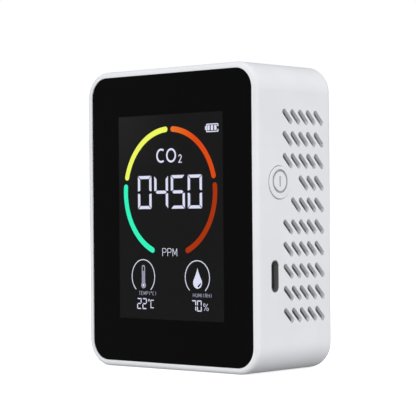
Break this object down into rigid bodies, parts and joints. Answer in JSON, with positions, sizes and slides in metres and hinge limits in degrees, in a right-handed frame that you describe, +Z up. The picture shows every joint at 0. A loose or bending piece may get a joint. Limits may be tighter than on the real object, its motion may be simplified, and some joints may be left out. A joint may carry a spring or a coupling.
{
  "type": "carbon dioxide monitor",
  "caption": "Small upright desktop air monitor: rounded white case, black front lens over a colour display, side grilles, side power button and charging socket.",
  "frame": {"origin": "middle of the base, on the surface the monitor stands on", "axes": "+X to the right of the screen, towards the button and the socket; +Y to the back; +Z up"},
  "size_m": [0.0673, 0.034, 0.088],
  "materials": {
    "white_abs": "fine matt moulded, white",
    "screw_steel": "nickel-plated, cross recess",
    "clear_acrylic": "clear cast acrylic, polished face",
    "black_ink": "black back print seen through the lens",
    "polariser_film": "dark grey film",
    "display_glass": "thin float glass",
    "white_plastic": "white moulded",
    "clear_guide": "clear light guide",
    "socket_steel": "dark nickel plate",
    "black_plastic": "black moulded",
    "gold_plate": "gold plate",
    "tinned_steel": "tin plate",
    "green_board": "green solder mask",
    "white_membrane": "porous white sheet",
    "lamp_glass": "lamp bulb glass",
    "ceramic_tan": "fired ceramic",
    "battery_foil": "laminated foil pouch",
    "red_wire": "silicone insulation",
    "black_wire": "silicone insulation"
  },
  "bodies": {
    "case": {"back_cover": "white_abs", "backlight_frame": "white_plastic", "backlight_guide": "clear_guide", "backlight_leds": "white_plastic", "battery_cell": "battery_foil", "battery_guard_board": "green_board", "battery_lead_black": "black_wire", "battery_lead_red": "red_wire", "battery_pad": "white_membrane", "battery_plug": "white_plastic", "battery_socket": "white_plastic", "battery_socket_pins": "tinned_steel", "board_screws": "screw_steel", "buzzer": "black_plastic", "case_screws": "screw_steel", "ceramic_capacitors": "ceramic_tan", "charger_chip": "black_plastic", "charger_leads": "tinned_steel", "chip_resistors": "black_plastic", "climate_sensor": "black_plastic", "co2_chamber": "gold_plate", "co2_filter_membranes": "white_membrane", "co2_ir_detector": "tinned_steel", "co2_ir_lamp": "lamp_glass", "co2_sensor_board": "green_board", "co2_sensor_pins": "gold_plate", "co2_sensor_spacers": "black_plastic", "crystal": "tinned_steel", "front_lens": "clear_acrylic", "housing": "white_abs", "inductor": "black_plastic", "lcd_front_glass": "display_glass", "lcd_front_polariser": "polariser_film", "lcd_pins": "tinned_steel", "lcd_rear_glass": "display_glass", "lcd_rear_polariser": "polariser_film", "lens_mask": "black_ink", "lens_tape": "black_ink", "main_board": "green_board", "microcontroller": "black_plastic", "microcontroller_leads": "tinned_steel", "switch_body": "black_plastic", "switch_bracket": "tinned_steel", "switch_terminals": "tinned_steel", "usb_contacts": "gold_plate", "usb_insulator": "black_plastic", "usb_shell": "socket_steel"},
    "button": {"power_button": "white_abs"},
    "plunger": {"switch_plunger": "black_plastic"}
  },
  "joints": [
    {"name": "button_press", "type": "slide", "parent": "case", "child": "button", "axis": [-1, 0, 0], "range_m": [0, 0.0003], "stiffness_N_per_m": 2000},
    {"name": "plunger_press", "type": "slide", "parent": "case", "child": "plunger", "axis": [-1, 0, 0], "range_m": [0, 0.0003]}
  ],
  "couplings": [
    {"joint": "plunger_press", "follows": "button_press", "ratio": 1}
  ]
}
